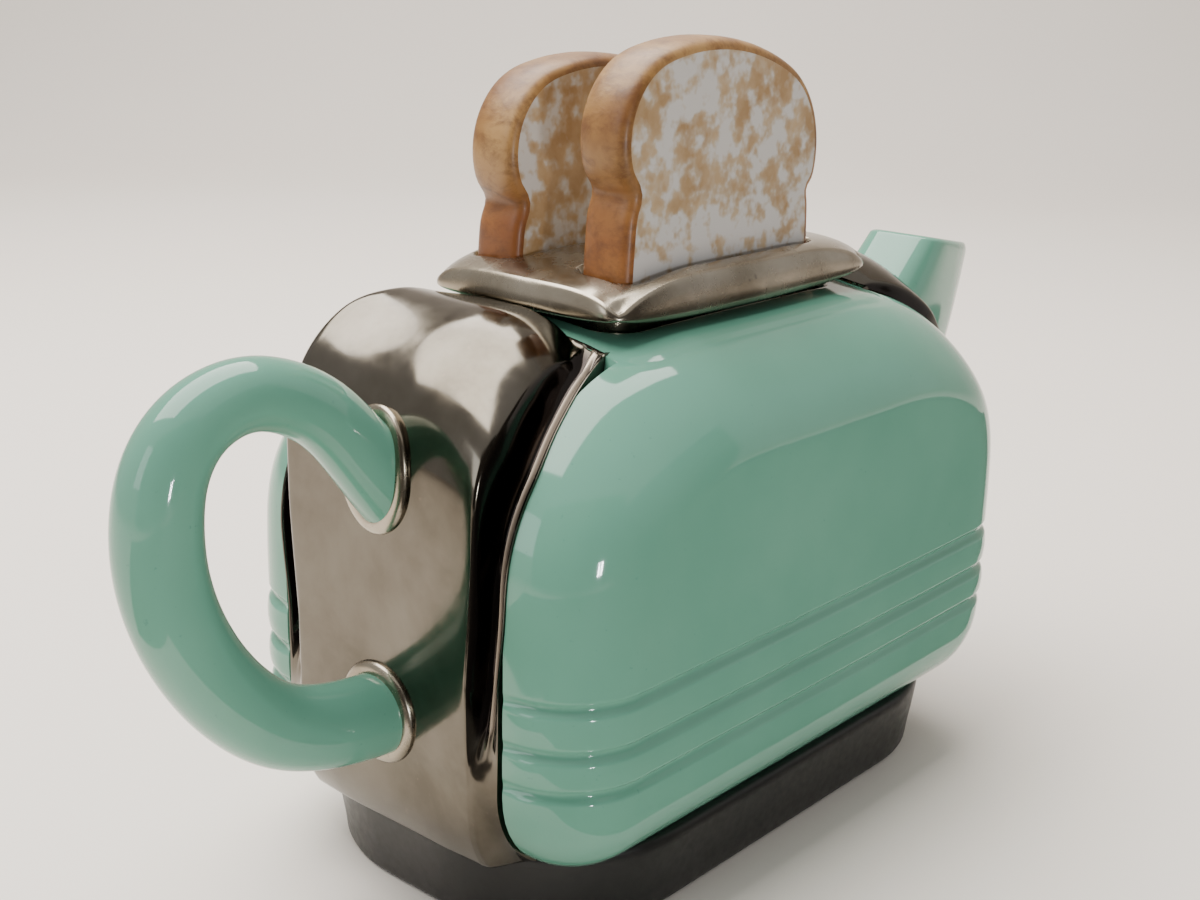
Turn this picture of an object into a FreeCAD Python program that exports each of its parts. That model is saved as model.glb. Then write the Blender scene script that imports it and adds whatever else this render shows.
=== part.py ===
import FreeCAD, Part
import Sketcher
import math
import os

# Toaster-shaped teapot: a hollow pot on a black foot, and a lid that lifts off by its toast.
# Origin at the underside centre, +Z up, the spout towards +X. Sizes are in mm.

DIMENSIONS = {
    "body_half_length": 78.0,
    "body_half_width": 49.0,
    "body_low": 14.8,
    "deck_height": 114.6,
    "end_shoulder_radius": 43.0,
    "end_foot_radius": 20.0,
    "side_edge_radius": 17.6,
    "wall_thickness": 4.0,
    "groove_width": 1.6,
    "groove_depth": 0.9,
    "groove_low": 37.2,
    "groove_middle": 45.2,
    "groove_high": 54.4,
    "plinth_half_length": 72.9,
    "plinth_half_width": 40.7,
    "plinth_corner_radius": 33.0,
    "plinth_taper": 7.5,
    "plinth_height": 17.3,
    "plinth_wall": 10.0,
    "plinth_floor": 4.0,
    "band_raise": 2.6,
    "band_top_raise": 2.2,
    "band_half_width": 19.5,
    "band_shoulder_radius": 28.0,
    "band_foot_radius": 48.0,
    "band_form_low": -8.0,
    "strip_raise": 1.0,
    "strip_half_width": 28.0,
    "cap_low": 16.6,
    "cap_edge_x": 44.6,
    "handle_top_radius": 6.7,
    "handle_back_radius": 8.1,
    "handle_top_bend": 19.5,
    "handle_top_centre_x": -108.3,
    "handle_top_centre_height": 91.0,
    "handle_low_bend": 22.5,
    "handle_low_centre_x": -95.0,
    "handle_low_centre_height": 67.6,
    "handle_upper_root_angle": 45.0,
    "handle_lower_root_angle": 264.0,
    "collar_half_width": 9.8,
    "collar_thickness": 2.4,
    "collar_rounding": 1.1,
    "upper_collar_height": 90.6,
    "upper_collar_half_height": 12.4,
    "lower_collar_height": 42.5,
    "lower_collar_half_height": 10.4,
    "spout_root_half_width": 13.0,
    "spout_mouth_half_width": 11.0,
    "spout_tip_half_width": 4.0,
    "spout_tip_x": 130.0,
    "spout_tip_height": 108.4,
    "spout_back_x": 96.0,
    "spout_back_height": 115.0,
    "spout_throat_x": 105.0,
    "spout_throat_height": 69.0,
    "spout_root_x": 74.0,
    "spout_root_low": 51.0,
    "spout_root_high": 96.0,
    "spout_shell": 3.0,
    "strainer_hole_radius": 2.2,
    "strainer_lowest_row": 62.0,
    "strainer_row_pitch": 8.0,
    "strainer_hole_pitch": 7.0,
    "lid_half_length": 44.0,
    "lid_half_width": 26.6,
    "lid_low": 115.0,
    "lid_top": 124.6,
    "lid_corner_radius": 6.0,
    "lid_edge_radius": 4.4,
    "lid_shell": 5.0,
    "lid_opening_half_length": 37.0,
    "lid_opening_half_width": 20.0,
    "lid_opening_corner_radius": 7.0,
    "flange_gap": 1.0,
    "flange_wall": 3.0,
    "flange_depth": 8.0,
    "slot_depth": 3.0,
    "slot_gap": 0.8,
    "toast_centre_x": -4.4,
    "toast_half_pitch": 14.6,
    "toast_thickness": 12.0,
    "toast_stem_half_width": 29.8,
    "toast_bulge_half_width": 32.2,
    "toast_left_shoulder_radius": 17.0,
    "toast_left_shoulder_height": 149.0,
    "toast_right_shoulder_radius": 20.0,
    "toast_right_shoulder_height": 143.5,
    "toast_dome_radius": 60.0,
    "far_toast_drop": 5.0,
    "toast_edge_radius": 2.0,
}

ALONG_Y = FreeCAD.Vector(0, 1, 0)
ALONG_Z = FreeCAD.Vector(0, 0, 1)

doc = FreeCAD.newDocument("toaster_teapot")
sheet = doc.addObject("Spreadsheet::Sheet", "dims")
for row, (alias, value) in enumerate(DIMENSIONS.items(), start=1):
    sheet.set("A%d" % row, alias)
    sheet.set("B%d" % row, str(value))
    sheet.setAlias("B%d" % row, alias)
doc.recompute()


def size(alias):
    """The value of one driving dimension, read from the sheet."""
    return float(sheet.get(alias))


def origin_plane(body, role):
    """One of a body's own origin planes, found by its role."""
    for feature in body.Origin.OriginFeatures:
        if feature.Role == role:
            return feature
    raise ValueError(role)


def rectangle_sketch(body, name, plane):
    """A sketched rectangle, upright and level, with its lengths still free."""
    sketch = body.newObject("Sketcher::SketchObject", name)
    sketch.AttachmentSupport = [(origin_plane(body, plane), "")]
    sketch.MapMode = "FlatFace"
    corners = [(-40, 20), (40, 20), (40, 60), (-40, 60)]
    points = [FreeCAD.Vector(x, y, 0) for x, y in corners]
    for index in range(4):
        following = (index + 1) % 4
        sketch.addGeometry(Part.LineSegment(points[index], points[following]))
    for index in range(4):
        following = (index + 1) % 4
        sketch.addConstraint(Sketcher.Constraint("Coincident", index, 2, following, 1))
    for index in (0, 2):
        sketch.addConstraint(Sketcher.Constraint("Horizontal", index))
    for index in (1, 3):
        sketch.addConstraint(Sketcher.Constraint("Vertical", index))
    return sketch


def name_length(sketch, name, expression, constraint):
    """Add one length to a sketch and drive it from the sheet."""
    index = sketch.addConstraint(constraint)
    sketch.renameConstraint(index, name)
    sketch.setExpression("Constraints." + name, expression)


def side_rectangle(body, name, wide, top, low):
    """A rectangle seen from the side; top and low are heights above the origin."""
    sketch = rectangle_sketch(body, name, "XZ_Plane")
    name_length(sketch, "wide", wide, Sketcher.Constraint("DistanceX", 0, 1, 0, 2, 80))
    name_length(sketch, "half_wide", "(%s) / 2" % wide,
                Sketcher.Constraint("DistanceX", 0, 1, -1, 1, 40))
    name_length(sketch, "top", top, Sketcher.Constraint("DistanceY", -1, 1, 3, 1, 60))
    name_length(sketch, "tall", "(%s) - (%s)" % (top, low),
                Sketcher.Constraint("DistanceY", 0, 1, 3, 1, 40))
    return sketch


def plan_rectangle(body, name, wide, deep, level):
    """A rectangle seen from above, centred on the origin, at the height level."""
    sketch = rectangle_sketch(body, name, "XY_Plane")
    sketch.addConstraint(Sketcher.Constraint("Symmetric", 0, 1, 2, 1, -1, 1))
    name_length(sketch, "wide", wide, Sketcher.Constraint("DistanceX", 0, 1, 0, 2, 80))
    name_length(sketch, "deep", deep, Sketcher.Constraint("DistanceY", 0, 1, 3, 1, 40))
    sketch.setExpression("AttachmentOffset.Base.z", level)
    return sketch


def pad(body, sketch, name, length, symmetric=False, taper=None):
    """Pad a sketch by a length driven from the sheet."""
    feature = body.newObject("PartDesign::Pad", name)
    feature.Profile = sketch
    feature.setExpression("Length", length)
    if symmetric:
        feature.SideType = "Symmetric"
    if taper:
        feature.setExpression("TaperAngle", taper)
    body.Tip = feature
    doc.recompute()
    return feature


def round_edges(body, base, name, radius, chosen):
    """Fillet the edges of a feature for which chosen(edge) is true."""
    edges = enumerate(base.Shape.Edges, start=1)
    names = ["Edge%d" % number for number, edge in edges if chosen(edge)]
    feature = body.newObject("PartDesign::Fillet", name)
    feature.Base = (base, names)
    feature.setExpression("Radius", radius)
    body.Tip = feature
    doc.recompute()
    return feature


def middle(edge):
    """The point half way along an edge."""
    first, last = edge.ParameterRange
    return edge.valueAt((first + last) / 2)


def is_crosswise(edge):
    """True for an edge that runs along Y."""
    return edge.BoundBox.YLength > 1 and edge.BoundBox.XLength + edge.BoundBox.ZLength < 0.01


def lies_at_level(edge, level):
    """True for an edge that lies flat at the height level."""
    return edge.BoundBox.ZLength < 0.01 and abs(middle(edge).z - level) < 0.01


def end_form(name, wide, top, low, deep, shoulder_radius, foot_radius):
    """A block with rounded shoulders and rounded feet at both ends."""
    body = doc.addObject("PartDesign::Body", name)
    outline = side_rectangle(body, name + "_outline", wide, top, low)
    block = pad(body, outline, name + "_block", deep, symmetric=True)
    centre = block.Shape.BoundBox.Center.z
    shoulders = round_edges(body, block, name + "_shoulders", shoulder_radius,
                            lambda e: is_crosswise(e) and middle(e).z > centre)
    low_edge = block.Shape.BoundBox.ZMin
    round_edges(body, shoulders, name + "_feet", foot_radius,
                lambda e: is_crosswise(e) and middle(e).z < low_edge + 0.01)
    return body


def loaf_form(name, inset):
    """The toaster's block, with softly rounded side edges, shrunk evenly by inset."""
    body = end_form(
        name,
        "2 * (dims.body_half_length - %s)" % inset,
        "dims.deck_height - %s" % inset,
        "dims.body_low + %s" % inset,
        "2 * (dims.body_half_width - %s)" % inset,
        "dims.end_shoulder_radius - %s" % inset,
        "dims.end_foot_radius - %s" % inset)
    box = body.Tip.Shape.BoundBox
    round_edges(body, body.Tip, name + "_sides", "dims.side_edge_radius - %s" % inset,
                lambda e: abs(e.BoundBox.YMax - e.BoundBox.YMin) < 0.01
                and abs(abs(middle(e).y) - box.YMax) < 0.01)
    return body


def slab_form(name, wide, deep, corner, level, height, taper=None):
    """An upright slab with rounded corners, standing on the height level."""
    body = doc.addObject("PartDesign::Body", name)
    outline = plan_rectangle(body, name + "_outline", wide, deep, level)
    block = pad(body, outline, name + "_block", height, taper=taper)
    round_edges(body, block, name + "_corners", corner, lambda e: e.BoundBox.ZLength > 0.5)
    return body


def cut(name, base, tools):
    """A base with each tool taken away in turn."""
    result = base
    for number, tool in enumerate(tools, start=1):
        step = doc.addObject("Part::Cut", name if number == len(tools) else name + "_step")
        step.Base = result
        step.Tool = tool
        result = step
    return result


def fuse(name, shapes):
    """Several shapes as one."""
    result = doc.addObject("Part::MultiFuse", name)
    result.Shapes = shapes
    result.Refine = True
    return result


def common(name, shapes):
    """What several shapes share."""
    result = doc.addObject("Part::MultiCommon", name)
    result.Shapes = shapes
    return result


def box(name, low_corner, lengths):
    """A box; each entry of low_corner and lengths is an expression."""
    result = doc.addObject("Part::Box", name)
    for prop, expression in zip(("Length", "Width", "Height"), lengths):
        result.setExpression(prop, expression)
    for axis, expression in zip("xyz", low_corner):
        result.setExpression("Placement.Base." + axis, expression)
    return result


def extrude_outline(name, edges, direction, length):
    """A solid from a closed outline of edges, extruded evenly to both sides."""
    outline = doc.addObject("Part::Feature", name + "_outline")
    outline.Shape = Part.Face(Part.Wire(edges))
    result = doc.addObject("Part::Extrusion", name)
    result.Base = outline
    result.DirMode = "Custom"
    result.Dir = direction
    result.Symmetric = True
    result.setExpression("LengthFwd", length)
    result.Solid = True
    return result


# ---------------------------------------------------------------- the pot


def groove_ring(name, height):
    """A flat ring that cuts one shallow groove round the vessel."""
    outside = slab_form(
        name + "_outside", "2 * dims.body_half_length + 6", "2 * dims.body_half_width + 6",
        "dims.side_edge_radius + 3", "%s - dims.groove_width / 2" % height,
        "dims.groove_width")
    inside = slab_form(
        name + "_inside",
        "2 * (dims.body_half_length - dims.groove_depth)",
        "2 * (dims.body_half_width - dims.groove_depth)",
        "dims.side_edge_radius - dims.groove_depth",
        "%s - dims.groove_width" % height, "2 * dims.groove_width")
    return cut(name, outside, [inside])


def strainer_holes():
    """Staggered rows of small holes pierced through the end wall behind the spout."""
    holes = []
    start = size("body_half_length") - 3 * size("wall_thickness")
    for level in range(4):
        height = size("strainer_lowest_row") + level * size("strainer_row_pitch")
        places = (-1.0, 0.0, 1.0) if level % 2 == 0 else (-0.5, 0.5)
        for place in places:
            hole = doc.addObject("Part::Cylinder", "strainer_hole")
            hole.setExpression("Radius", "dims.strainer_hole_radius")
            hole.setExpression("Height", "5 * dims.wall_thickness")
            centre = FreeCAD.Vector(start, place * size("strainer_hole_pitch"), height)
            hole.Placement = FreeCAD.Placement(centre, FreeCAD.Rotation(ALONG_Y, 90))
            holes.append(hole)
    return holes


def make_pot_body(outer_loaf, foot_hollow, holes):
    """The hollow vessel: lid opening above, open to the foot below, grooves round its sides."""
    inside = loaf_form("vessel_inside", "dims.wall_thickness")
    lid_opening = slab_form(
        "lid_opening", "2 * dims.lid_opening_half_length", "2 * dims.lid_opening_half_width",
        "dims.lid_opening_corner_radius", "dims.deck_height - 12", "20")
    grooves = [groove_ring("groove_ring_" + level, "dims.groove_" + level)
               for level in ("low", "middle", "high")]
    return cut("pot_body", outer_loaf, [inside, lid_opening, foot_hollow] + holes + grooves)


def make_foot_hollow():
    """The space inside the foot, which runs up into the vessel."""
    return slab_form(
        "foot_hollow",
        "2 * (dims.plinth_half_length - dims.plinth_wall)",
        "2 * (dims.plinth_half_width - dims.plinth_wall)",
        "dims.plinth_corner_radius - dims.plinth_wall",
        "dims.plinth_floor", "dims.body_low + 4")


def make_base_plinth(outer_loaf, foot_hollow):
    """The black foot: it widens upwards to a narrow ledge, and the vessel is sunk into its top."""
    block = slab_form(
        "plinth_block", "2 * dims.plinth_half_length", "2 * dims.plinth_half_width",
        "dims.plinth_corner_radius", "0", "dims.plinth_height", taper="dims.plinth_taper")
    return cut("base_plinth", block, [foot_hollow, outer_loaf])


def make_cap_form():
    """The raised centre band and the lower strips beside it, as one long form over both ends."""
    band = end_form(
        "band_form",
        "2 * (dims.body_half_length + dims.band_raise)",
        "dims.deck_height + dims.band_top_raise",
        "dims.band_form_low",
        "2 * dims.band_half_width",
        "dims.band_shoulder_radius",
        "dims.band_foot_radius")
    strip = end_form(
        "strip_form",
        "2 * (dims.body_half_length + dims.strip_raise)",
        "dims.deck_height + dims.strip_raise",
        "dims.band_form_low",
        "2 * dims.strip_half_width",
        "dims.end_shoulder_radius",
        "dims.band_foot_radius")
    return band, fuse("cap_form", [band, strip])


def make_end_cap(name, side, cap_form, taken_away):
    """The part of the cap form over one end; side is 1 at the spout and -1 at the handle."""
    reach = "(dims.body_half_length + 10 - dims.cap_edge_x)"
    start = "dims.cap_edge_x" if side > 0 else "-dims.cap_edge_x - %s" % reach
    region = box(name + "_region",
                 (start, "-dims.strip_half_width - 2", "dims.cap_low"),
                 (reach, "2 * dims.strip_half_width + 4", "dims.deck_height"))
    covered = common(name + "_covered", [cap_form, region])
    return cut(name, covered, taken_away)


def handle_arcs():
    """The two bends of the handle's centre line, over the top and in below.

    Each is (centre, bend radius, first angle, last angle). They share the angle of the straight
    run down the back, which touches both.
    """
    top_bend = size("handle_top_bend")
    low_bend = size("handle_low_bend")
    top_centre = FreeCAD.Vector(size("handle_top_centre_x"), 0, size("handle_top_centre_height"))
    low_centre = FreeCAD.Vector(size("handle_low_centre_x"), 0, size("handle_low_centre_height"))
    gap = low_centre - top_centre
    lean = math.degrees(math.atan2(gap.z, gap.x))
    turn = math.degrees(math.acos((top_bend - low_bend) / gap.Length))
    back_angle = lean - turn + 360
    return [(top_centre, top_bend, size("handle_upper_root_angle"), back_angle),
            (low_centre, low_bend, back_angle, size("handle_lower_root_angle"))]


def on_arc(centre, bend, angle):
    """A point on an arc in the XZ plane, and the direction of travel there."""
    outward = FreeCAD.Vector(math.cos(math.radians(angle)), 0, math.sin(math.radians(angle)))
    return centre + outward * bend, FreeCAD.Vector(-outward.z, 0, outward.x)


def handle_stations():
    """Evenly spread points and directions along the handle's centre line, root to root."""
    top_arc, low_arc = handle_arcs()
    upper_run = 27.0
    lower_run = 20.0
    spacing = 8.0
    first, first_way = on_arc(top_arc[0], top_arc[1], top_arc[2])
    stations = [(first - first_way * share * upper_run, first_way) for share in (1.0, 0.66, 0.33)]
    for centre, bend, start, end in (top_arc, low_arc):
        steps = max(2, round(math.radians(end - start) * bend / spacing))
        for step in range(steps + 1):
            stations.append(on_arc(centre, bend, start + (end - start) * step / steps))
        if centre is top_arc[0]:
            high, way = stations[-1]
            low, _ = on_arc(low_arc[0], low_arc[1], low_arc[2])
            stations += [(high + (low - high) * share, way) for share in (0.33, 0.67)]
    last, last_way = stations[-1]
    stations += [(last + last_way * share * lower_run, last_way) for share in (0.5, 1.0)]
    return stations


def make_handle_form():
    """The handle's full tube, thin over the top and thicker down the back, run into the wall."""
    thin = size("handle_top_radius")
    thick = size("handle_back_radius")
    last_thin_ring = 4
    rings_between = 6
    rings = []
    for number, (point, along) in enumerate(handle_stations()):
        share = min(1.0, max(0.0, (number - last_thin_ring) / rings_between))
        ring = doc.addObject("Part::Circle", "handle_ring")
        ring.Radius = thin + (thick - thin) * share
        ring.Placement = FreeCAD.Placement(
            point, FreeCAD.Rotation(ALONG_Y, FreeCAD.Vector(), along, "ZXY"))
        rings.append(ring)
    tube = doc.addObject("Part::Loft", "handle_form")
    tube.Sections = rings
    tube.Solid = True
    return tube


def make_collar(place, handle_form, band_form):
    """A flat chrome ring on the end wall, round the handle's upper or lower root."""
    name = place + "_handle_collar"
    wall = -(size("body_half_length") + size("band_raise"))
    oval = doc.addObject("Part::Ellipse", name + "_oval")
    oval.setExpression("MajorRadius", "dims.%s_collar_half_height" % place)
    oval.setExpression("MinorRadius", "dims.collar_half_width")
    oval.Placement = FreeCAD.Placement(
        FreeCAD.Vector(wall - size("collar_thickness"), 0, size(place + "_collar_height")),
        FreeCAD.Rotation(FreeCAD.Vector(0, 0, 1), FreeCAD.Vector(0, 1, 0),
                         FreeCAD.Vector(1, 0, 0), "ZXY"))
    disc = doc.addObject("Part::Extrusion", name + "_disc")
    disc.Base = oval
    disc.DirMode = "Normal"
    disc.LengthFwd = 14.0
    disc.Solid = True
    doc.recompute()
    soft = doc.addObject("Part::Fillet", name + "_soft")
    soft.Base = disc
    rim = size("collar_rounding")
    edges = enumerate(disc.Shape.Edges, start=1)
    outermost = disc.Shape.BoundBox.XMin
    soft.Edges = [(number, rim, rim) for number, edge in edges
                  if edge.BoundBox.XMax < outermost + 0.01]
    return cut(name, soft, [handle_form, band_form])


def spout_side(inset):
    """The spout's outline from the side, shrunk by inset; the hollow runs out of the mouth."""
    rise = 8.0 if inset else 0.0
    back_top = FreeCAD.Vector(size("spout_back_x") + inset, 0, size("spout_back_height") + rise)
    tip_top = FreeCAD.Vector(size("spout_tip_x") - 1.5 * inset, 0, size("spout_tip_height") + rise)
    tip_low = FreeCAD.Vector(size("spout_tip_x") - 1.5 * inset, 0, size("spout_tip_height"))
    throat = FreeCAD.Vector(size("spout_throat_x") - inset, 0, size("spout_throat_height") + inset)
    root = size("spout_root_x")
    low_root = FreeCAD.Vector(root, 0, size("spout_root_low") + 1.4 * inset)
    high_root = FreeCAD.Vector(root, 0, size("spout_root_high") - 1.4 * inset)
    edges = [Part.LineSegment(high_root, back_top).toShape(),
             Part.LineSegment(back_top, tip_top).toShape()]
    if inset:
        edges.append(Part.LineSegment(tip_top, tip_low).toShape())
    edges.append(Part.Arc(tip_low, throat, low_root).toShape())
    edges.append(Part.LineSegment(low_root, high_root).toShape())
    return edges


def spout_plan(inset):
    """The spout's outline from above, shrunk by inset: broad at the root, narrow at the lip."""
    root = size("spout_root_half_width") - inset
    mouth = size("spout_mouth_half_width") - inset
    tip = size("spout_tip_half_width") - 0.6 * inset
    reach = size("spout_tip_x") - 1.5 * inset
    near_root = FreeCAD.Vector(size("spout_root_x") - 4, -root, 0)
    near_mouth = FreeCAD.Vector(size("spout_back_x"), -mouth, 0)
    near_tip = FreeCAD.Vector(reach - tip, -tip, 0)
    nose = FreeCAD.Vector(reach + 0.5, 0, 0)

    def mirrored(point):
        return FreeCAD.Vector(point.x, -point.y, point.z)

    return [Part.LineSegment(near_root, near_mouth).toShape(),
            Part.LineSegment(near_mouth, near_tip).toShape(),
            Part.Arc(near_tip, nose, mirrored(near_tip)).toShape(),
            Part.LineSegment(mirrored(near_tip), mirrored(near_mouth)).toShape(),
            Part.LineSegment(mirrored(near_mouth), mirrored(near_root)).toShape(),
            Part.LineSegment(mirrored(near_root), near_root).toShape()]


def spout_form(name, inset):
    """The spout's outside, or with an inset its hollow."""
    side = extrude_outline(name + "_side", spout_side(inset), ALONG_Y, "60")
    plan = extrude_outline(name + "_plan", spout_plan(inset), ALONG_Z, "300")
    return common(name, [side, plan])


# ---------------------------------------------------------------- the lid


def point_on(centre, radius, angle):
    """The point of a circle in the XZ plane at an angle in degrees above +X."""
    turned = math.radians(angle)
    return centre + FreeCAD.Vector(math.cos(turned), 0, math.sin(turned)) * radius


def dome_centre(left, left_radius, right, right_radius, dome_radius):
    """The centre of the circle that rests on two shoulder circles and touches both smoothly."""
    across = right - left
    to_left = dome_radius - left_radius
    to_right = dome_radius - right_radius
    along = (to_left ** 2 - to_right ** 2 + across.Length ** 2) / (2 * across.Length)
    down = math.sqrt(to_left ** 2 - along ** 2)
    direction = across / across.Length
    return left + direction * along + FreeCAD.Vector(direction.z, 0, -direction.x) * down


def toast_outline(drop):
    """A slice's outline: a stem, a waist each side, two uneven shoulders and a domed top."""
    centre_x = size("toast_centre_x")
    bulge = size("toast_bulge_half_width")
    stem = size("toast_stem_half_width")
    base = size("lid_top") - size("slot_depth")
    left_radius = size("toast_left_shoulder_radius")
    right_radius = size("toast_right_shoulder_radius")
    dome_radius = size("toast_dome_radius")
    left = FreeCAD.Vector(centre_x - bulge + left_radius, 0,
                          size("toast_left_shoulder_height") - drop)
    right = FreeCAD.Vector(centre_x + bulge - right_radius, 0,
                           size("toast_right_shoulder_height") - drop)
    dome = dome_centre(left, left_radius, right, right_radius, dome_radius)
    left_turn = math.degrees(math.atan2((left - dome).z, (left - dome).x))
    right_turn = math.degrees(math.atan2((right - dome).z, (right - dome).x))
    left_waist = 180 + math.degrees(math.acos((left_radius - bulge + stem) / left_radius))
    right_waist = -math.degrees(math.acos((right_radius - bulge + stem) / right_radius))
    low_left = FreeCAD.Vector(centre_x - stem, 0, base)
    low_right = FreeCAD.Vector(centre_x + stem, 0, base)

    def arc(centre, radius, first, last):
        return Part.Arc(point_on(centre, radius, first),
                        point_on(centre, radius, (first + last) / 2),
                        point_on(centre, radius, last)).toShape()

    return [Part.LineSegment(low_left, point_on(left, left_radius, left_waist)).toShape(),
            arc(left, left_radius, left_waist, left_turn),
            arc(dome, dome_radius, left_turn, right_turn),
            arc(right, right_radius, right_turn, right_waist),
            Part.LineSegment(point_on(right, right_radius, right_waist), low_right).toShape(),
            Part.LineSegment(low_right, low_left).toShape()]


def make_toast(name, side, drop):
    """One slice, side 1 or -1 across the lid, its crown lower by drop."""
    block = extrude_outline(name + "_block", toast_outline(drop), ALONG_Y, "dims.toast_thickness")
    block.setExpression("Placement.Base.y", "%d * dims.toast_half_pitch" % side)
    doc.recompute()
    soft = doc.addObject("Part::Fillet", name)
    soft.Base = block
    rim = size("toast_edge_radius")
    floor = size("lid_top") - size("slot_depth")
    edges = enumerate(block.Shape.Edges, start=1)
    soft.Edges = [(number, rim, rim) for number, edge in edges
                  if edge.BoundBox.YLength < 0.01 and edge.BoundBox.ZMax > floor + 0.1]
    return soft


def make_slot(name, side):
    """The pocket in the lid's top that one slice stands in."""
    gap = "dims.slot_gap"
    return box(name,
               ("dims.toast_centre_x - dims.toast_stem_half_width - %s" % gap,
                "%d * dims.toast_half_pitch - dims.toast_thickness / 2 - %s" % (side, gap),
                "dims.lid_top - dims.slot_depth"),
               ("2 * (dims.toast_stem_half_width + %s)" % gap,
                "dims.toast_thickness + 2 * %s" % gap,
                "10"))


def make_lid_tray():
    """The lid: a soft-edged tray with two slots above and a hollow locating flange below."""
    tray = slab_form("tray_block", "2 * dims.lid_half_length", "2 * dims.lid_half_width",
                     "dims.lid_corner_radius", "dims.lid_low", "dims.lid_top - dims.lid_low")
    top_level = size("lid_top")
    round_edges(tray, tray.Tip, "tray_brim", "dims.lid_edge_radius",
                lambda e: lies_at_level(e, top_level))
    low_level = size("lid_low")
    round_edges(tray, tray.Tip, "tray_underside", "dims.lid_edge_radius / 2",
                lambda e: lies_at_level(e, low_level))
    flange = slab_form(
        "flange_block",
        "2 * (dims.lid_opening_half_length - dims.flange_gap)",
        "2 * (dims.lid_opening_half_width - dims.flange_gap)",
        "dims.lid_opening_corner_radius - dims.flange_gap",
        "dims.lid_low - dims.flange_depth", "dims.flange_depth + 2")
    hollow = slab_form(
        "lid_hollow",
        "2 * (dims.lid_opening_half_length - dims.flange_gap - dims.flange_wall)",
        "2 * (dims.lid_opening_half_width - dims.flange_gap - dims.flange_wall)",
        "dims.lid_opening_corner_radius - dims.flange_gap - dims.flange_wall",
        "dims.lid_low - dims.flange_depth - 1",
        "dims.lid_top - dims.lid_shell - dims.lid_low + dims.flange_depth + 1")
    blank = fuse("lid_blank", [tray, flange])
    slots = [make_slot("near_slot", -1), make_slot("far_slot", 1)]
    return cut("lid_tray", blank, [hollow] + slots)


# ---------------------------------------------------------------- the assembly

outer_loaf = loaf_form("vessel_outside", "0")
foot_hollow = make_foot_hollow()
band_form, cap_form = make_cap_form()
handle_form = make_handle_form()
spout_outside = spout_form("spout_outside", 0.0)
spout_hollow = spout_form("spout_hollow", size("spout_shell"))
holes = strainer_holes()
doc.recompute()

base_plinth = make_base_plinth(outer_loaf, foot_hollow)
nodes = [
    make_pot_body(outer_loaf, foot_hollow, holes),
    base_plinth,
    make_end_cap("handle_end_cap", -1, cap_form, [outer_loaf, base_plinth]),
    make_end_cap("spout_end_cap", 1, cap_form, [outer_loaf, base_plinth, spout_hollow]),
    cut("handle", handle_form, [band_form, outer_loaf]),
    make_collar("upper", handle_form, band_form),
    make_collar("lower", handle_form, band_form),
    cut("spout", spout_outside, [spout_hollow, band_form, outer_loaf]),
    make_lid_tray(),
    make_toast("near_toast_slice", -1, 0.0),
    make_toast("far_toast_slice", 1, size("far_toast_drop")),
]
doc.recompute()

for item in doc.Objects:
    if "Invalid" in item.State or "Error" in item.State:
        raise RuntimeError("%s: %s" % (item.Label, item.State))

os.makedirs("parts", exist_ok=True)
for node in nodes:
    shape = node.Shape
    if shape.isNull() or not shape.isValid():
        raise RuntimeError("bad shape: " + node.Label)
    bounds = shape.optimalBoundingBox()
    print("%-20s %d solid %8.0f mm3  x %6.1f %6.1f  y %6.1f %6.1f  z %6.1f %6.1f" % (
        node.Label, len(shape.Solids), shape.Volume, bounds.XMin, bounds.XMax,
        bounds.YMin, bounds.YMax, bounds.ZMin, bounds.ZMax))
    shape.exportStep("parts/%s.step" % node.Label)
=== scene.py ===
import bpy
import math
from mathutils import Matrix, Vector


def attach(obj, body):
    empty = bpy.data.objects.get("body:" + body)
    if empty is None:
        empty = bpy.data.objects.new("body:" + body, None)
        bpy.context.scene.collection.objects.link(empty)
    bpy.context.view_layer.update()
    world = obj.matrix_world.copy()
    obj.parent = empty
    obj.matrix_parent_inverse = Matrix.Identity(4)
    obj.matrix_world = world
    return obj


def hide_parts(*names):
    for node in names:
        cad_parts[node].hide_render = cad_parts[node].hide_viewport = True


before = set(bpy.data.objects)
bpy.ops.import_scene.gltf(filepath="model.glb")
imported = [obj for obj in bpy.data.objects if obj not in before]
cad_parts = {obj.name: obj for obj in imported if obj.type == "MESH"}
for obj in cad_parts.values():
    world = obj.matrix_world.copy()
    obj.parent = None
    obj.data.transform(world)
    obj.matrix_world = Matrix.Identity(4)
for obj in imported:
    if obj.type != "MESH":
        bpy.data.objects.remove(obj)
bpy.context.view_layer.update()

# The visible toaster teapot. Lengths are in millimetres until make_piece turns them to metres;
# +X runs to the spout, -X to the handle, +Z up, and the foot stands on Z = 0.

MM = 0.001

# The green vessel, as seen from the side, and how far its long edges are rounded.
VESSEL = {"half_length": 78.0, "top": 114.6, "low": 14.8, "shoulder": 43.0, "foot": 20.0}
VESSEL_HALF_WIDTH = 49.0
SIDE_RADIUS_LOW = 17.6
SIDE_RADIUS_HIGH = 21.0
SIDE_SWELL = 0.7
WALL = 4.0
DECK_CROWN = 3.0
DECK_CROWN_ENDS = 5.2
GROOVES = (37.2, 45.2, 54.4)
GROOVE_REACH = 1.9
GROOVE_DEPTH = 1.1
LID_OPENING = (37.0, 20.0, 7.0)
FOOT_OPENING = (62.9, 30.7, 23.0)
# The vessel steps in under each chrome end, just inside the chrome's outer edge.
STEP_DEPTH = 3.4
STEP_WIDTH = 0.35
END_POINTS = 17

# The raised centre band of each chrome end.
BAND = {"half_length": 80.7, "top": 118.4, "low": -8.0, "shoulder": 28.0, "foot": 48.0}
CAP_EDGE_X = 44.6
CAP_LOW = 17.2
FOOT_FLARE = 2.2


# ---------------------------------------------------------------- small helpers


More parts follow.
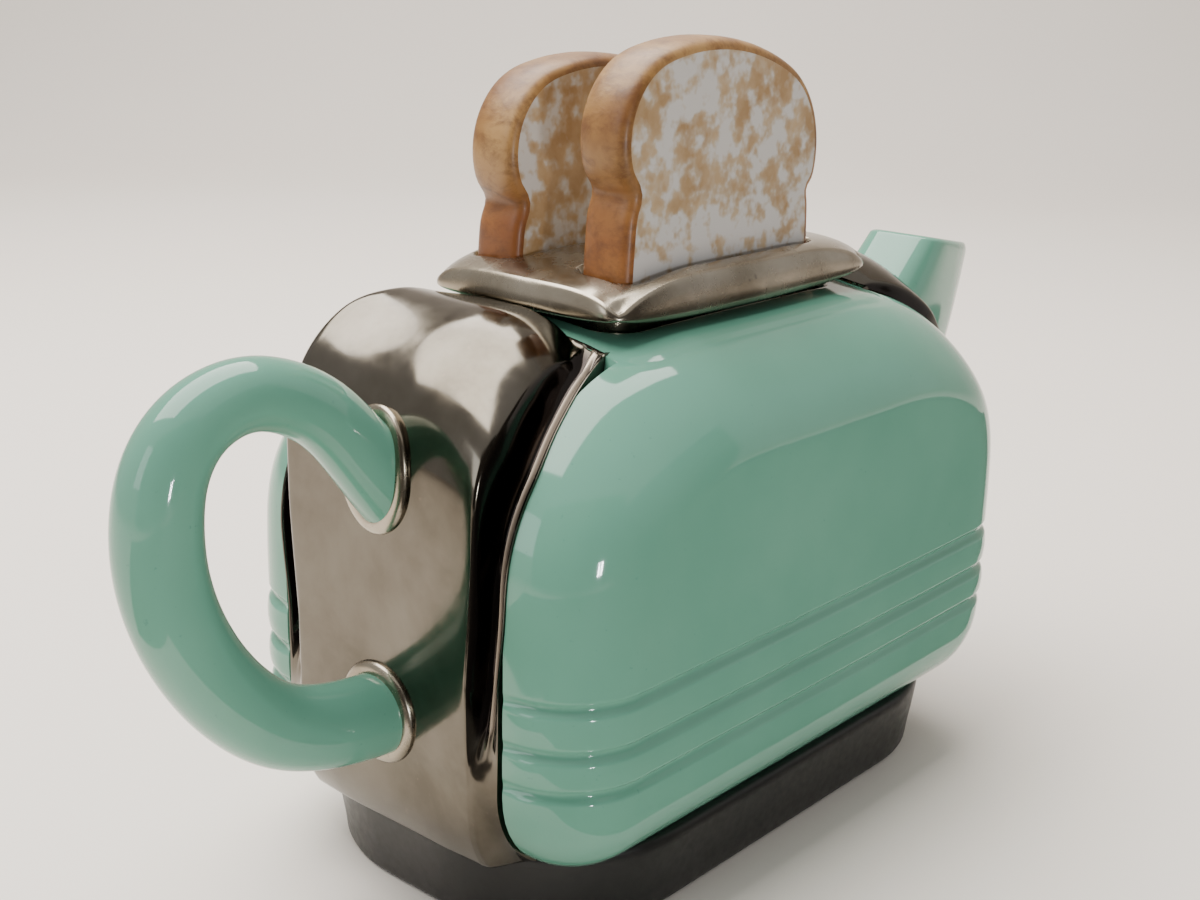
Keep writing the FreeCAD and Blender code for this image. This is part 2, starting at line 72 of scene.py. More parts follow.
def smooth(value, start, end):
    """0 before start, 1 after end, and an even curve between; start may be above end."""
    share = min(1.0, max(0.0, (value - start) / (end - start)))
    return share * share * (3 - 2 * share)


def mix(first, last, share):
    return first + (last - first) * share


def spread(first, last, count):
    """Evenly spaced values from first to last."""
    return [mix(first, last, step / (count - 1)) for step in range(count)]


def row_slope(table, row):
    """How steeply the curve through a table passes one of its rows: level at a peak."""
    slopes = []
    for (low, start), (high, end) in zip(table[max(0, row - 1):row + 2], table[max(1, row):row + 2]):
        slopes.append((end - start) / (high - low))
    if len(slopes) == 1:
        return slopes[0]
    before, after = slopes
    return 2 * before * after / (before + after) if before * after > 0 else 0.0


def along(table, value):
    """Reads a table of (position, amount) pairs as one even curve through its rows."""
    if value <= table[0][0]:
        return table[0][1]
    for row in range(len(table) - 1):
        (low, start), (high, end) = table[row], table[row + 1]
        if value <= high:
            span = high - low
            t = (value - low) / span
            rise = (t ** 3 - 2 * t ** 2 + t) * row_slope(table, row)
            rise += (t ** 3 - t ** 2) * row_slope(table, row + 1)
            return mix(start, end, t * t * (3 - 2 * t)) + rise * span
    return table[-1][1]


class Skin:
    """The points and faces of a piece, gathered ring by ring or row by row."""

    def __init__(self):
        self.points = []
        self.faces = []
        self.marks = []
        # Per-point amounts of painted shade and painted reflection, kept as mesh attributes.
        self.painted_light_layers = {}

    def add(self, points):
        start = len(self.points)
        self.points += [tuple(point) for point in points]
        return list(range(start, len(self.points)))

    def join(self, first, second, closed=True, mark=0):
        """Quads between two rows of the same length."""
        count = len(first)
        for index in range(count if closed else count - 1):
            after = (index + 1) % count
            self.faces.append((first[index], first[after], second[after], second[index]))
            self.marks.append(mark)

    def stack(self, rings, closed=True):
        """Adds rings of points and joins each to the next."""
        rows = [self.add(ring) for ring in rings]
        for first, second in zip(rows, rows[1:]):
            self.join(first, second, closed)
        return rows

    def fill(self, row, centre, mark=0):
        """A fan that closes a ring."""
        middle = self.add([centre])[0]
        count = len(row)
        for index in range(count):
            self.faces.append((row[index], row[(index + 1) % count], middle))
            self.marks.append(mark)


def make_piece(name, skin, materials, body, nodes, sharp=48.0):
    """Turns a skin into an object that rides a CAD body and stands for its nodes."""
    mesh = bpy.data.meshes.new(name)
    mesh.from_pydata([[axis * MM for axis in point] for point in skin.points], [], skin.faces)
    for material in materials:
        mesh.materials.append(material)
    mesh.polygons.foreach_set("material_index", skin.marks)
    for stain_and_painted_light, amounts in skin.painted_light_layers.items():
        mesh.attributes.new(stain_and_painted_light, "FLOAT", "POINT").data.foreach_set("value", amounts)
    mesh.validate()
    mesh.shade_smooth()
    piece = bpy.data.objects.new(name, mesh)
    bpy.context.scene.collection.objects.link(piece)
    bpy.context.view_layer.objects.active = piece
    piece.select_set(True)
    bpy.ops.object.mode_set(mode="EDIT")
    bpy.ops.mesh.select_all(action="SELECT")
    bpy.ops.mesh.normals_make_consistent(inside=False)
    bpy.ops.object.mode_set(mode="OBJECT")
    piece.select_set(False)
    mesh.set_sharp_from_angle(angle=math.radians(sharp))
    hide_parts(*nodes)
    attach(piece, body)


def round_rectangle(half_x, half_y, radius, x, y):
    """The point of a round-cornered rectangle in the same direction as (x, y)."""
    low, high = 0.0, 4.0 * max(half_x, half_y) / max(abs(x), abs(y))
    for _ in range(40):
        middle = (low + high) / 2
        over_x = max(0.0, abs(x) * middle - (half_x - radius))
        over_y = max(0.0, abs(y) * middle - (half_y - radius))
        if math.hypot(over_x, over_y) > radius:
            high = middle
        else:
            low = middle
    return x * low, y * low


def rectangle_ring(half_x, half_y, radius, level, count=96):
    """A round-cornered rectangle as a ring of points at one level."""
    ring = []
    for step in range(count):
        turn = 2 * math.pi * step / count
        x, y = round_rectangle(half_x, half_y, radius, half_x * math.cos(turn) * 1.2,
                               half_y * math.sin(turn) * 1.2)
        ring.append((x, y, level))
    return ring


# ---------------------------------------------------------------- the vessel


def inset_form(form, inset):
    """A side outline shrunk evenly by inset."""
    return {"half_length": form["half_length"] - inset, "top": form["top"] - inset,
            "low": form["low"] + inset, "shoulder": form["shoulder"] - inset,
            "foot": form["foot"] - inset}


def reach(form, z):
    """How far a side outline reaches along X at the height z."""
    for radius, centre, way in ((form["shoulder"], form["top"] - form["shoulder"], 1),
                                (form["foot"], form["low"] + form["foot"], -1)):
        over = (z - centre) * way
        if over > 0:
            over = min(over, radius)
            return form["half_length"] - radius + math.sqrt(radius ** 2 - over ** 2)
    return form["half_length"]


def depth_inside(form, x, z):
    """The distance from a point inside a side outline to the outline."""
    x = abs(x)
    for radius, centre, way in ((form["shoulder"], form["top"] - form["shoulder"], 1),
                                (form["foot"], form["low"] + form["foot"], -1)):
        beyond = x - (form["half_length"] - radius)
        over = (z - centre) * way
        if beyond > 0 and over > 0:
            return max(0.0, radius - math.hypot(beyond, over))
    return max(0.0, min(form["half_length"] - x, form["top"] - z, z - form["low"]))


def side_radius(z):
    """The rounding of the long edges, larger over the shoulders."""
    return mix(SIDE_RADIUS_LOW, SIDE_RADIUS_HIGH, smooth(z, 62.0, 98.0))


def side_reach(form, inset, x, z):
    """The vessel's half-width at (x, z)."""
    radius = side_radius(z) - inset
    depth = min(depth_inside(form, x, z), radius)
    flat = VESSEL_HALF_WIDTH - inset - radius
    swell = SIDE_SWELL * (1 - (x / VESSEL["half_length"]) ** 2) * smooth(depth, 0.0, radius)
    return flat + math.sqrt(radius ** 2 - (radius - depth) ** 2) + swell - SIDE_SWELL


def deck_drop(x, y, z):
    """How far the crowned deck falls away towards its sides, most at its two ends."""
    share = (1 - math.cos(math.pi * min(abs(y), VESSEL_HALF_WIDTH) / VESSEL_HALF_WIDTH)) / 2
    crown = mix(DECK_CROWN, DECK_CROWN_ENDS, smooth(abs(x), 24.0, 46.0))
    return crown * share * smooth(z, 78.0, 108.0)


def end_column(form, inset, y, z):
    """How far out along X the vessel's plan still has the half-width y, at a height."""
    low, high = 0.0, reach(form, z)
    if side_reach(form, inset, high, z) >= y:
        return high
    for _ in range(30):
        middle = (low + high) / 2
        if side_reach(form, inset, middle, z) > y:
            low = middle
        else:
            high = middle
    return low


def vessel_ring(form, inset, z):
    """One level ring round the vessel: near side, spout end, far side, handle end.

    Each end's points lie inside the chrome's outer edge, and the sides' points outside it.
    """
    far_x = reach(form, z)
    radius = side_radius(z) - inset
    edge_y = along(OUTER_LINE, run_from_edge(far_x, z))
    covered = far_x - end_column(form, inset, edge_y, z)
    first = math.acos(max(0.1, 1 - covered / radius))
    bend = [radius * (1 - math.cos(turn)) for turn in spread(first, math.radians(86), 12)]
    inner = far_x - radius
    columns = [-far_x + step for step in bend] + spread(-inner, inner, 41)
    columns += [far_x - step for step in reversed(bend)]
    side = [(x, side_reach(form, inset, x, z)) for x in columns]
    rows = [(edge_y - STEP_WIDTH) * share for share in spread(-1.0, 1.0, END_POINTS)]
    end = [(end_column(form, inset, abs(y), z), y) for y in rows]
    plan = [(x, -y) for x, y in side]
    plan += end
    plan += [(x, y) for x, y in reversed(side)]
    plan += [(-x, -y) for x, y in end]
    return [(x, y, z) for x, y in plan]


def run_from_edge(x, z):
    """How far down the vessel's end a point lies, along the surface from the deck edge."""
    bend = VESSEL["shoulder"]
    beyond, over = abs(x) - (VESSEL["half_length"] - bend), z - (VESSEL["top"] - bend)
    first = math.asin((CAP_EDGE_X - (VESSEL["half_length"] - bend)) / bend)
    if over < 0:
        return (math.pi / 2 - first) * bend - over
    return max(0.0, (math.atan2(beyond, over) - first) * bend)


def groove_profile(z):
    """How far the surface moves outwards at a height: in at a groove, a little out between."""
    amount = 0.0
    for groove in GROOVES:
        if abs(z - groove) < GROOVE_REACH:
            amount -= GROOVE_DEPTH * (0.5 + 0.5 * math.cos(math.pi * (z - groove) / GROOVE_REACH))
    for low, high in zip(GROOVES, GROOVES[1:]):
        if low < z < high:
            amount += 0.45 * math.sin(math.pi * (z - low) / (high - low)) ** 1.5
    return amount


def end_normal(x, z):
    """The direction out of the vessel's end, in the XZ plane."""
    way = math.copysign(1.0, x)
    over = z - (VESSEL["top"] - VESSEL["shoulder"])
    if over <= 0:
        return Vector((way, 0.0, 0.0))
    beyond = abs(x) - (VESSEL["half_length"] - VESSEL["shoulder"])
    return Vector((way * beyond, 0.0, over)).normalized()


def dress_vessel_ring(ring):
    """Presses the grooves into a level ring and sinks it where a chrome end lies over it."""
    count = len(ring)
    dressed = []
    for index, (x, y, z) in enumerate(ring):
        before, after = ring[index - 1], ring[(index + 1) % count]
        run = Vector((after[0] - before[0], after[1] - before[1])).normalized()
        outward = Vector((run.y, -run.x))
        if index % (count // 2) >= count // 2 - END_POINTS:
            depth = STEP_DEPTH * smooth(abs(x), CAP_EDGE_X, CAP_EDGE_X + 1.6)
            dressed.append(Vector((x, y, z)) - end_normal(x, z) * depth)
        else:
            fade = smooth(abs(y), 29.5, 34.0) if abs(x) > 60 else 1.0
            moved = Vector((x, y)) + outward * (groove_profile(z) * fade)
            dressed.append((moved.x, moved.y, z))
    return dressed


def deck_height(form, inset, x, y, upper):
    """The height of the vessel's top (or bottom) surface over a plan position."""
    radius = side_radius(110.0 if upper else 20.0) - inset
    flat = VESSEL_HALF_WIDTH - inset - radius
    over = min(radius, max(0.0, abs(y) + SIDE_SWELL * (abs(y) > flat) - flat))
    depth = radius - math.sqrt(radius ** 2 - over ** 2)
    bend = form["shoulder"] if upper else form["foot"]
    beyond = max(0.0, abs(x) - (form["half_length"] - bend))
    fall = bend - math.sqrt(max(0.0, (bend - depth) ** 2 - beyond ** 2))
    return form["top"] - fall if upper else form["low"] + fall


def closing_rings(form, inset, ring, opening, steps, upper):
    """Rings that run from a level ring over the deck, or the underside, to an opening."""
    half_x, half_y, radius = opening
    rings = []
    for step in range(1, steps + 1):
        share = step / steps
        row = []
        for x, y, z in ring:
            end_x, end_y = round_rectangle(half_x, half_y, radius, x * half_x, y * half_y)
            px, py = mix(x, end_x, share), mix(y, end_y, share)
            level = deck_height(form, inset, px, py, upper)
            level = mix(z, level, smooth(share, 0.0, 0.25)) if step < 3 else level
            row.append((px, py, level))
        rings.append(row)
    return rings


def settle(ring):
    """Lowers points by the deck's crown."""
    return [(x, y, z - deck_drop(x, y, z)) for x, y, z in ring]


def vessel_levels():
    """Heights of the level rings, close together round the grooves and the rounded edges."""
    levels = [16.0, 16.6, 17.4, 18.4, 19.8, 21.6, 23.8, 26.4, 29.2, 32.0, 34.6]
    levels += spread(35.2, 57.0, 88)
    levels += spread(58.5, 96.0, 22)
    levels += [98.0, 100.0, 102.0, 104.0, 105.8, 107.4, 108.9, 110.2, 111.2, 112.0, 112.6, 113.1,
               113.5]
    return levels


def make_pot_body(glaze):
    skin = Skin()
    opening = (LID_OPENING[0] + 2, LID_OPENING[1] + 2, LID_OPENING[2] + 2)
    outer = [vessel_ring(VESSEL, 0.0, z) for z in vessel_levels()]
    top = closing_rings(VESSEL, 0.0, outer[-1], opening, 16, True)
    under = closing_rings(VESSEL, 0.0, outer[0], FOOT_OPENING, 5, False)
    outer = [dress_vessel_ring(ring) for ring in outer]
    hollow = inset_form(VESSEL, WALL)
    inner_levels = spread(20.0, 104.0, 40) + [105.5, 106.8, 107.9, 108.8]
    inner = [vessel_ring(hollow, WALL, z) for z in inner_levels]
    inner_top = closing_rings(hollow, WALL, inner[-1], opening, 12, True)
    inner_under = closing_rings(hollow, WALL, inner[0], FOOT_OPENING, 4, False)
    rim = []
    for angle in range(15, 180, 15):
        turn = math.radians(angle)
        row = []
        for (x, y, high), (_, _, low) in zip(top[-1], inner_top[-1]):
            middle, half = (high + low) / 2, (high - low) / 2
            pull = Vector((x, y)).normalized() * (2.0 * math.sin(turn))
            row.append((x - pull.x, y - pull.y, middle + half * math.cos(turn)))
        rim.append(row)
    rings = list(reversed(under)) + outer + top + rim
    rings += list(reversed(inner_top)) + list(reversed(inner)) + inner_under
    rows = skin.stack([settle(ring) for ring in rings])
    skin.join(rows[-1], rows[0])
    make_piece("pot_body_shell", skin, [glaze], "pot", ["pot_body"])


def make_plinth(glaze):
    """The black foot: it widens upwards to a narrow ledge, with the hollow foot inside."""
    skin = Skin()
    rings = []
    for half_x, half_y, level in ((40.0, 12.0, 0.0), (69.0, 37.0, 0.0), (71.6, 39.4, 0.1),
                                  (72.5, 40.3, 0.6), (73.0, 40.8, 1.6), (73.4, 41.2, 5.0),
                                  (74.2, 42.0, 10.0), (74.8, 42.6, 14.5), (74.9, 42.7, 16.0),
                                  (74.6, 42.4, 16.9), (73.8, 41.6, 17.3), (66.0, 34.0, 17.3),
                                  (63.0, 31.0, 17.2), (62.9, 30.9, 12.0), (62.6, 30.6, 5.5),
                                  (61.0, 29.0, 4.1), (40.0, 12.0, 4.0)):
        corner = max(8.0, 33.0 - (73.0 - half_x))
        rings.append(rectangle_ring(half_x, half_y, min(corner, half_y - 0.5), level, 144))
    rows = skin.stack(rings)
    skin.fill(rows[0], (0, 0, 0))
    skin.fill(rows[-1], (0, 0, 4))
    make_piece("black_foot", skin, [glaze], "pot", ["base_plinth"])


# ---------------------------------------------------------------- the chrome ends


def outline_run(form, start_x, end_z, count):
    """Evenly spaced points along a side outline, from the deck at start_x down to end_z."""
    dense = []
    flat_end = form["half_length"] - form["shoulder"]
    for x in spread(start_x, max(start_x, flat_end), 12)[:-1]:
        dense.append((x, form["top"]))
    centre_z = form["top"] - form["shoulder"]
    first = math.asin(max(0.0, start_x - flat_end) / form["shoulder"])
    for turn in spread(first, math.pi / 2, 120):
        dense.append((flat_end + form["shoulder"] * math.sin(turn),
                      centre_z + form["shoulder"] * math.cos(turn)))
    foot_z = form["low"] + form["foot"]
    for z in spread(centre_z, foot_z, 60)[1:]:
        dense.append((form["half_length"], z))
    last = math.asin((foot_z - end_z) / form["foot"])
    for turn in spread(0.0, last, 40)[1:]:
        dense.append((form["half_length"] - form["foot"] * (1 - math.cos(turn)),
                      foot_z - form["foot"] * math.sin(turn)))
    lengths = [0.0]
    for (ax, az), (bx, bz) in zip(dense, dense[1:]):
        lengths.append(lengths[-1] + math.hypot(bx - ax, bz - az))
    run = []
    index = 0
    for goal in spread(0.0, lengths[-1], count):
        while index < len(dense) - 2 and lengths[index + 1] < goal:
            index += 1
        step = lengths[index + 1] - lengths[index]
        share = (goal - lengths[index]) / step if step > 1e-9 else 0.0
        (ax, az), (bx, bz) = dense[index], dense[index + 1]
        run.append(Vector((mix(ax, bx, share), mix(az, bz, share))))
    return run


# Across a chrome end, 0 is the middle plane, 1 the band's crease and 2 the chrome's outer edge.
BAND_SHARE = ((0.93, 1.0), (0.98, 0.985), (1.0, 0.94), (1.04, 0.78), (1.11, 0.42), (1.22, 0.1),
              (1.32, 0.0))
CHANNEL_HEIGHT = ((1.02, 0.0), (1.22, -1.8), (1.4, -2.3), (1.53, -1.35), (1.67, -2.2),
                  (1.84, -0.9), (1.94, 0.3), (2.0, 0.32))
FLUSH_SHARE = ((0.6, 1.0), (1.2, 0.86), (1.6, 0.45), (2.0, 0.06))
# Painted shade: the chrome is painted nearly black down the channel, for the dark room it reflects, but
# for a painted pale reflection streak towards its outer side.
CHANNEL_PAINTED_SHADE = ((0.985, 0.0), (1.03, 0.9), (1.08, 1.0), (1.88, 1.0), (1.95, 0.45), (2.0, 0.3))
CHANNEL_PAINTED_REFLECTION = ((1.40, 0.0), (1.48, 1.0), (1.58, 1.0), (1.66, 0.0))

# Distances from the middle plane, by how far down the end from the deck edge.
CREASE_LINE = ((0.0, 18.2), (10.0, 20.2), (20.0, 22.6), (34.0, 24.8), (56.0, 25.4), (80.0, 23.8))
OUTER_LINE = ((0.0, 24.0), (10.0, 26.6), (20.0, 28.8), (34.0, 31.0), (56.0, 31.4), (74.0, 29.8))
# How far the band's crease lies inside its full outline, on the near side and on the far side.
NEAR_DROOP = ((0.0, 6.0), (10.0, 6.2), (24.0, 5.6), (34.0, 4.0), (44.0, 2.2), (58.0, 0.4),
              (66.0, 0.0))
FAR_DROOP = ((0.0, 0.9), (12.0, -1.2), (22.0, -2.6), (30.0, -2.2), (46.0, -0.8), (66.0, 0.0))


def cap_columns():
    """Places across a chrome end, close together at the crease and in the channel."""
    half = [0.0, 0.14, 0.28, 0.42, 0.54, 0.64, 0.72, 0.79, 0.85, 0.895, 0.93, 0.955, 0.972, 0.986,
            1.0, 1.015, 1.035, 1.06, 1.09, 1.12, 1.16, 1.2]
    half += spread(1.24, 1.96, 19) + [2.0]
    return [-place for place in reversed(half[1:])] + half


def cap_point(ground, band, outward, place, from_top):
    """One point of a chrome end, between the vessel's outline and the band's."""
    out = abs(place)
    crease, outer = along(CREASE_LINE, from_top), along(OUTER_LINE, from_top)
    y = crease * min(out, 1.0) + (outer - crease) * max(0.0, out - 1.0)
    channel = smooth(ground.y, 30.0, 48.0)
    share = mix(along(FLUSH_SHARE, out), along(BAND_SHARE, out), channel)
    depth = smooth(ground.y, 38.0, 58.0) * smooth(from_top, -1.0, 7.0)
    extra = mix(0.34 * smooth(out, 1.0, 1.9), along(CHANNEL_HEIGHT, out), depth)
    droop = along(FAR_DROOP if place > 0 else NEAR_DROOP, from_top) * min(out, 1.0) ** 2.2
    droop += 1.2 * smooth(from_top, 10.0, 0.0) * (1 - out / 2)
    rise = band - ground
    reach_out = max(0.0, rise.length - droop) / max(rise.length, 0.001)
    point = ground + rise * (share * reach_out) + outward * extra
    level = point.y - deck_drop(ground.x, y, ground.y) * (1 - min(1.0, share * reach_out))
    flare = FOOT_FLARE * smooth(ground.y, 32.0, CAP_LOW) * smooth(out, 1.9, 1.2)
    return point.x + flare, math.copysign(y, place), level


def cap_painted_light(table, ground, place, from_top):
    """How strong the painted light from one table is at a point of a chrome end; it stops short of the
    foot.
    """
    ragged = 1.6 * math.sin(9.0 * place) + 0.9 * math.sin(31.0 * place)
    lengthwise = smooth(ground.y + ragged, 44.0, 47.0) * smooth(from_top, 0.0, 3.0)
    return along(table, abs(place)) * lengthwise


def make_end_cap(name, side, cad_node, chrome):
    """The chrome end; side is -1 at the handle and 1 at the spout."""
    skin = Skin()
    count = 150
    ground_run = outline_run(VESSEL, CAP_EDGE_X, CAP_LOW, count)
    band_run = outline_run(BAND, CAP_EDGE_X, CAP_LOW, count)
    columns = cap_columns()
    rows = []
    painted_light_layers = {"painted_shade": [], "painted_reflection": []}
    length = 0.0
    for index in range(count):
        ground, band = ground_run[index], band_run[index]
        before = ground_run[max(0, index - 1)]
        after = ground_run[min(count - 1, index + 1)]
        length += (ground - before).length
        run = (after - before).normalized()
        outward = Vector((-run.y, run.x))
        row = []
        for place in columns:
            x, y, z = cap_point(ground, band, outward, place, length)
            row.append((side * x, y, z))
        # Per point, how much painted shade and painted reflection each place across the chrome end
        # takes.
        for stain_and_painted_light, table in (("painted_shade", CHANNEL_PAINTED_SHADE), ("painted_reflection", CHANNEL_PAINTED_REFLECTION)):
            amounts = [cap_painted_light(table, ground, place, length) for place in columns]
            painted_light_layers[stain_and_painted_light].append([0.0] + amounts + [0.0])
        tuck = ground - outward * 3.0
        sunk = tuck.y - deck_drop(tuck.x, 28, tuck.y)
        hidden_y = along(OUTER_LINE, length) - 0.2
        row = [(side * tuck.x, -hidden_y, sunk)] + row + [(side * tuck.x, hidden_y, sunk)]
        rows.append(row)
    rows[0] = [(x, y, z - 0.35) for x, y, z in rows[0]]
    edge = [(x - side * 0.35, y, z - 0.9) for x, y, z in rows[0]]
    below = [(x, y, z - 4.0) for x, y, z in edge]
    foot = [(x - side * 0.6, y, CAP_LOW - 0.5) for x, y, z in rows[-1]]
    inside = [(x - side * 4.0, y, CAP_LOW - 0.5) for x, y, z in rows[-1]]
    skin.stack([below, edge] + rows + [foot, inside], closed=False)
    for stain_and_painted_light, amounts in painted_light_layers.items():
        amounts = amounts[:1] * 2 + amounts + amounts[-1:] * 2
        skin.painted_light_layers[stain_and_painted_light] = [amount for row in amounts for amount in row]
    make_piece(name, skin, [chrome], "pot", [cad_node], sharp=60.0)


# ---------------------------------------------------------------- handle and collars


HANDLE_RADIUS = ((0.0, 6.9), (0.22, 6.5), (0.5, 7.7), (0.8, 7.9), (1.0, 8.2))
HANDLE_LINE = ((-75.0, 84.6), (-84.3, 96.0), (-94.0, 106.0), (-107.2, 111.3), (-118.4, 108.9),
               (-125.0, 101.8), (-127.3, 92.0), (-126.6, 81.0), (-122.6, 69.4), (-115.4, 58.0),
               (-105.4, 48.6), (-94.0, 44.2), (-83.0, 42.6), (-74.0, 42.2))


def curve_through(points, steps):
    """An even curve through points in the XZ plane: places and directions along it."""
    points = [Vector(point) for point in points]
    points = [points[0] * 2 - points[1]] + points + [points[-1] * 2 - points[-2]]
    places = []
    for index in range(1, len(points) - 2):
        before, first, last, after = points[index - 1:index + 3]
        for step in range(steps):
            t = step / steps
            places.append(0.5 * (2 * first + (last - before) * t
                                 + (2 * before - 5 * first + 4 * last - after) * t ** 2
                                 + (3 * first - before - 3 * last + after) * t ** 3))
    places.append(points[-2])
    for _ in range(12):
        inner = [places[n] * 0.5 + (places[n - 1] + places[n + 1]) * 0.25
                 for n in range(1, len(places) - 1)]
        places = [places[0]] + inner + [places[-1]]
    line = []
    for index, place in enumerate(places):
        before, after = places[max(0, index - 1)], places[min(len(places) - 1, index + 1)]
        line.append((place, (after - before).normalized()))
    return line


def make_handle(glaze):
    skin = Skin()
    line = curve_through(HANDLE_LINE, 8)
    rings = []
    for number, (point, way) in enumerate(line):
        share = number / (len(line) - 1)
        radius = along(HANDLE_RADIUS, share)
        radius += 0.5 * smooth(share, 0.12, 0.02)
        across = Vector((-way.y, way.x))
        ring = []
        for step in range(40):
            turn = 2 * math.pi * step / 40
            out = point + across * (radius * math.cos(turn))
            ring.append((out.x, radius * math.sin(turn) * 1.02, out.y))
        rings.append(ring)
    rows = skin.stack(rings)
    for row, (point, _) in ((rows[0], line[0]), (rows[-1], line[-1])):
        skin.fill(row, (point.x, 0.0, point.y))
    make_piece("c_handle", skin, [glaze], "pot", ["handle"])


def make_collar(name, cad_node, height, half_height, half_width, chrome):
    """A rolled oval ring on the chrome end, round one root of the handle."""
    skin = Skin()
    thick, tall = 1.9, 1.2
    rings = []
    for step in range(72):
        turn = 2 * math.pi * step / 72
        y, rise = math.cos(turn), math.sin(turn)
        z = height + half_height * rise
        wall = reach(BAND, min(z, BAND["top"] - 0.5))
        slope = smooth(z, 90.0, 112.0) * 0.9
        out = Vector((-1.0, 0.0, slope)).normalized()
        centre = Vector((-wall, (half_width - thick) * y, z))
        spoke = Vector((0.0, y, rise))
        ring = []
        for part in range(16):
            bend = 2 * math.pi * part / 16
            ring.append(centre + spoke * (thick * math.cos(bend)) + out * (tall * math.sin(bend) + 0.2))
        rings.append(ring)
    rows = skin.stack(rings)
    skin.join(rows[-1], rows[0])
    make_piece(name, skin, [chrome], "pot", [cad_node])


# ---------------------------------------------------------------- the spout


# The spout's half-width seen from above, by X.
SPOUT_HALF_WIDTH = ((70.0, 13.2), (96.0, 11.2), (112.0, 8.2), (122.0, 5.4), (128.0, 3.6),
                    (131.0, 3.0))
SPOUT_WALL = 3.0


def spout_section(share, inset):
    """A closed ring round the spout, at a share of the way from the wall to the mouth."""
    back = Vector((72.0, 94.0)).lerp(Vector((96.0, 115.0)), share)
    low, throat, tip = Vector((70.0, 49.0)), Vector((108.0, 62.0)), Vector((130.0, 108.4))
    front = low * (1 - share) ** 2 + throat * (2 * share * (1 - share)) + tip * share ** 2
    run = (front - back)
    length = run.length
    half = length / 2 - inset
    centre = back.lerp(front, 0.5)
    way = run / length
    ring = []
    for step in range(56):
        turn = 2 * math.pi * step / 56
        square = 4.2
        cos, sin = math.cos(turn), math.sin(turn)
        size = (abs(cos) ** square + abs(sin) ** square) ** (-1 / square)
        place = centre + way * (half * cos * size)
        width = along(SPOUT_HALF_WIDTH, place.x) - inset
        ring.append((place.x, max(0.6, width) * sin * size, place.y))
    return ring


def make_spout(glaze):
    skin = Skin()
    shares = spread(0.0, 0.97, 40)
    outside = [spout_section(share, 0.0) for share in shares]
    rim = []
    for angle in range(10, 180, 20):
        turn = math.radians(angle)
        inset = SPOUT_WALL / 2 * (1 - math.cos(turn))
        rim.append([(x, y, z) for x, y, z in spout_section(0.97 + 0.03 * math.sin(turn), inset)])
    inside = [spout_section(share, SPOUT_WALL) for share in reversed(shares)]
    rows = skin.stack(outside + rim + inside)
    skin.join(rows[-1], rows[0])
    make_piece("pouring_spout", skin, [glaze], "pot", ["spout"])


# ---------------------------------------------------------------- the lid


TOAST_AWAY = 14.6
SLOTS = [(-4.7, side * TOAST_AWAY, 31.6, 7.4) for side in (-1, 1)]
SLOT_CORNER = 5.5
SLOT_DEPTH = 4.2
LID_HALF = (44.0, 26.6)
LID_TOP = 124.9


def lid_plan(u, v):
    """Maps a square to the lid's plan: sides bowed a little, corners drawn out but soft."""
    bow_x = 1 - 0.028 * v * v + 0.03 * (u * v) ** 4 - 0.04 * abs(u * v) ** 12
    bow_y = 1 - 0.05 * u * u + 0.05 * (u * v) ** 4 - 0.06 * abs(u * v) ** 12
    return LID_HALF[0] * u * bow_x * 0.965, LID_HALF[1] * v * bow_y * 0.95


def slot_depth(x, y):
    """How deep the lid's top is sunk at a point, for the pockets the slices stand in."""
    deepest = 0.0
    for centre_x, centre_y, half_x, half_y in SLOTS:
        over_x = max(0.0, abs(x - centre_x) - (half_x - SLOT_CORNER))
        over_y = max(0.0, abs(y - centre_y) - (half_y - SLOT_CORNER))
        outside = math.hypot(over_x, over_y) - SLOT_CORNER
        deepest = max(deepest, smooth(outside, 0.5, -0.5))
    return SLOT_DEPTH * deepest


def lid_top_height(u, v):
    """The pillowed top: highest in the middle, falling to the sides and most to the corners."""
    side_fall = 1.3 * abs(v) ** 8 + 2.6 * abs(u) ** 5
    corner_fall = 2.6 * abs(u * v) ** 4
    return LID_TOP - side_fall - corner_fall


def lid_lines(half, marks):
    """Grid lines across the lid, close together by each mark and at the rim."""
    lines = set(round(value, 3) for value in spread(-half, half, int(half * 1.6)))
    for mark in marks:
        for offset in (-1.2, -0.8, -0.5, -0.25, 0.0, 0.25, 0.5, 0.8, 1.2):
            lines.add(round(mark + offset, 3))
    lines = sorted(value for value in lines if abs(value) <= half)
    kept = [lines[0]]
    for value in lines[1:]:
        if value - kept[-1] > 0.18:
            kept.append(value)
    kept[-1] = half
    return [value / half for value in kept]


def rim_ring(lines_u, lines_v):
    """The square's edge as (u, v) pairs in order round the lid."""
    ring = [(u, -1.0) for u in lines_u[:-1]]
    ring += [(1.0, v) for v in lines_v[:-1]]
    ring += [(u, 1.0) for u in reversed(lines_u[1:])]
    ring += [(-1.0, v) for v in reversed(lines_v[1:])]
    return ring


